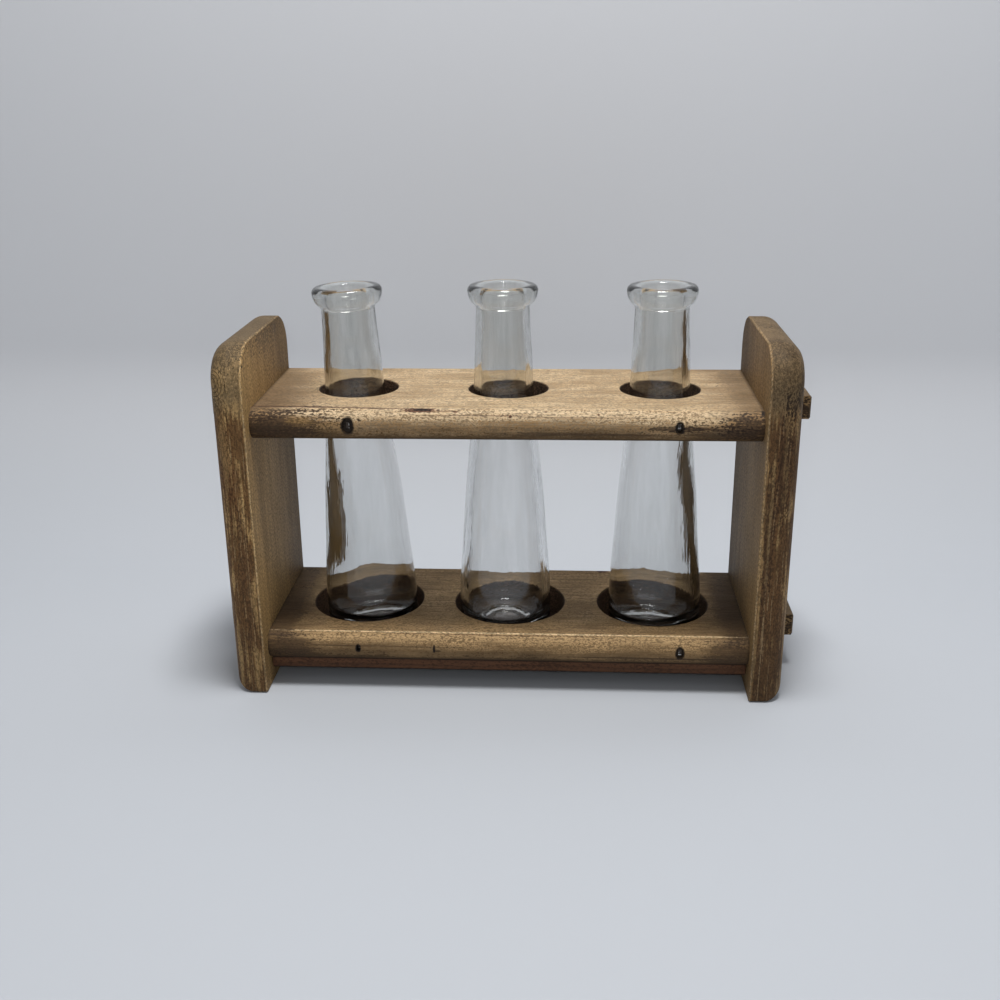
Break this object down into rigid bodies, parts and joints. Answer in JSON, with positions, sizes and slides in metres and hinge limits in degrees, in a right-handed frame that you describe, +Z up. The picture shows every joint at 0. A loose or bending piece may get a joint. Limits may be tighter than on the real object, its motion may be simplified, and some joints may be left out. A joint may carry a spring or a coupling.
{
  "type": "test tube vase",
  "caption": "Flower vase made of slim clear glass bottles that stand in a wooden rack, held by holed shelves tenoned through rounded end boards.",
  "frame": {"origin": "on the surface that the rack stands on, midway between the end boards and midway through their depth", "axes": "+X along the rack to the right, +Y from its rounded front edges to its back, +Z up"},
  "size_m": [0.306, 0.0976, 0.205],
  "materials": {
    "board_wood": "dark stained softwood, sanded pale along the inner arrises",
    "shelf_wood": "stained softwood, rubbed lighter on top and darker at the front edge",
    "panel_wood": "reddish dark brown stain",
    "brad_steel": "bright at the head, dulled by stain",
    "bottle_glass": "clear, thick and slightly wavy"
  },
  "bodies": {
    "rack": {"left_end_board": "board_wood", "right_end_board": "board_wood", "upper_shelf": "shelf_wood", "lower_shelf": "shelf_wood", "base_panel": "panel_wood", "upper_shelf_brads": "brad_steel", "lower_shelf_brads": "brad_steel", "panel_brads": "brad_steel"},
    "left_bottle": {"bottle_left": "bottle_glass"},
    "middle_bottle": {"bottle_middle": "bottle_glass"},
    "right_bottle": {"bottle_right": "bottle_glass"}
  },
  "joints": [
    {"name": "left_bottle_lift", "type": "slide", "parent": "rack", "child": "left_bottle", "axis": [0.0175, 0, 0.9998], "range_m": [0, 0.0345]},
    {"name": "middle_bottle_lift", "type": "slide", "parent": "rack", "child": "middle_bottle", "axis": [0.0748, 0, 0.9972], "range_m": [0, 0.0345]},
    {"name": "right_bottle_lift", "type": "slide", "parent": "rack", "child": "right_bottle", "axis": [-0.01, 0, 0.9999], "range_m": [0, 0.0345]}
  ]
}
